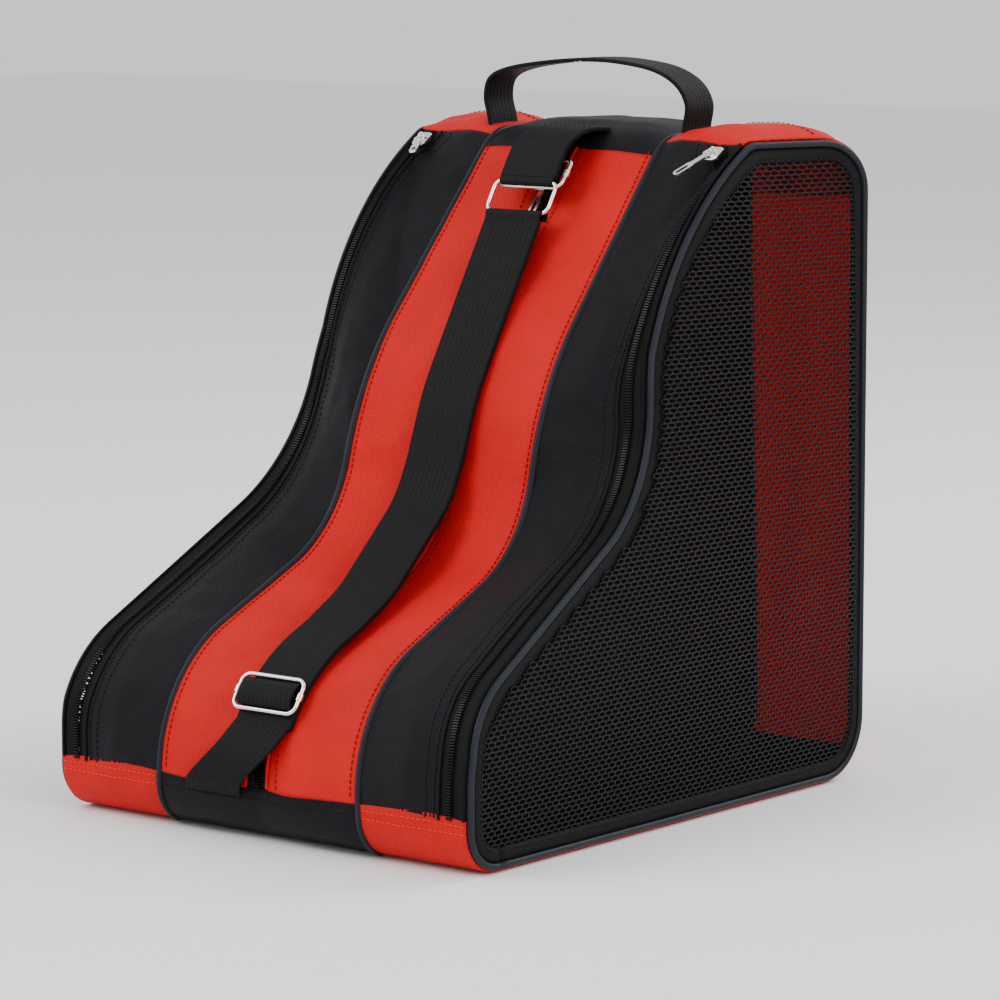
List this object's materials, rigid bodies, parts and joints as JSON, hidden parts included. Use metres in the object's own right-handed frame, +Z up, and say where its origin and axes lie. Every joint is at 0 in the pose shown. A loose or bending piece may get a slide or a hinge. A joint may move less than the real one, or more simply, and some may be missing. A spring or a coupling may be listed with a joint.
{
  "type": "skate bag",
  "caption": "Boot-shaped skate bag in red and black cloth with mesh sides, zips, a carry handle and an adjustable shoulder strap.",
  "frame": {"origin": "centre of the object's bounding footprint, on the plane that it stands on", "axes": "+X across the bag, to the right when the toe faces the viewer; -Y out of the toe, +Y out of the heel; +Z up"},
  "size_m": [0.2884, 0.3676, 0.402],
  "materials": {
    "red_oxford": "woven polyester twill, slight sheen",
    "black_oxford": "woven polyester, slight sheen",
    "black_webbing": "ribbed polypropylene webbing",
    "black_net": "hexagonal polyester net",
    "zip_tape": "fine woven tape",
    "zip_nylon": "nylon coil",
    "piping_vinyl": "coated cord, slightly glossy",
    "nickel": "nickel plated, polished"
  },
  "bodies": {
    "bag": {"centre_back_panel": "red_oxford", "centre_base_panel": "red_oxford", "centre_front_left": "red_oxford", "centre_front_right": "red_oxford", "centre_toe_panel": "black_oxford", "centre_top_panel": "black_oxford", "centre_zip_coil": "zip_nylon", "centre_zip_left_tape": "zip_tape", "centre_zip_right_tape": "zip_tape", "left_back_panel": "red_oxford", "left_base_strip": "red_oxford", "left_divider": "black_oxford", "left_front_panel": "black_oxford", "left_handle_tab": "black_webbing", "left_outer_piping": "piping_vinyl", "left_seam_piping": "piping_vinyl", "left_side_binding": "zip_tape", "left_side_net": "black_net", "left_toe_patch": "red_oxford", "left_top_panel": "red_oxford", "left_zip_coil": "zip_nylon", "left_zip_inner_tape": "zip_tape", "left_zip_outer_tape": "zip_tape", "right_back_panel": "red_oxford", "right_base_strip": "red_oxford", "right_divider": "black_oxford", "right_front_panel": "black_oxford", "right_handle_tab": "black_webbing", "right_outer_piping": "piping_vinyl", "right_seam_piping": "piping_vinyl", "right_side_binding": "zip_tape", "right_side_net": "black_net", "right_toe_patch": "red_oxford", "right_top_panel": "red_oxford", "right_zip_coil": "zip_nylon", "right_zip_inner_tape": "zip_tape", "right_zip_outer_tape": "zip_tape", "shoulder_strap": "black_webbing", "spare_adjuster": "nickel", "strap_anchor": "black_webbing", "strap_ring": "nickel", "strap_tail": "black_webbing"},
    "handle": {"handle_loop": "black_webbing"},
    "right_slider": {"right_zip_slider": "nickel"},
    "right_pull": {"right_zip_pull": "nickel"},
    "left_slider": {"left_zip_slider": "nickel"},
    "left_pull": {"left_zip_pull": "nickel"},
    "centre_slider": {"centre_zip_slider": "nickel", "centre_zip_pull": "nickel"},
    "adjuster": {"strap_adjuster": "nickel", "strap_adjuster_bight": "black_webbing"}
  },
  "joints": [
    {"name": "handle_fold", "type": "hinge", "parent": "bag", "child": "handle", "pos_m": [0, 0.1202, 0.3745], "axis": [1, 0, 0], "range_deg": [-60, 60]},
    {"name": "right_zip_travel", "type": "hinge", "parent": "bag", "child": "right_slider", "pos_m": [0.1025, 0.19254, 0.19617], "axis": [1, 0, 0], "range_deg": [0, 40]},
    {"name": "right_pull_swing", "type": "hinge", "parent": "right_slider", "child": "right_pull", "pos_m": [0.1025, 0.08798, 0.35445], "axis": [-0.8829, 0.3917, 0.2588], "range_deg": [0, 130]},
    {"name": "left_zip_travel", "type": "hinge", "parent": "bag", "child": "left_slider", "pos_m": [-0.1025, 0.19254, 0.19617], "axis": [1, 0, 0], "range_deg": [0, 40]},
    {"name": "left_pull_swing", "type": "hinge", "parent": "left_slider", "child": "left_pull", "pos_m": [-0.1025, 0.08798, 0.35445], "axis": [-0.8829, -0.3917, -0.2588], "range_deg": [-14, 116]},
    {"name": "centre_zip_travel", "type": "slide", "parent": "bag", "child": "centre_slider", "axis": [0, -0.6428, -0.766], "range_m": [0, 0.05]},
    {"name": "strap_adjust", "type": "hinge", "parent": "bag", "child": "adjuster", "pos_m": [0, -0.0928, 0.0313], "axis": [-1, 0, 0], "range_deg": [0, 24]}
  ]
}
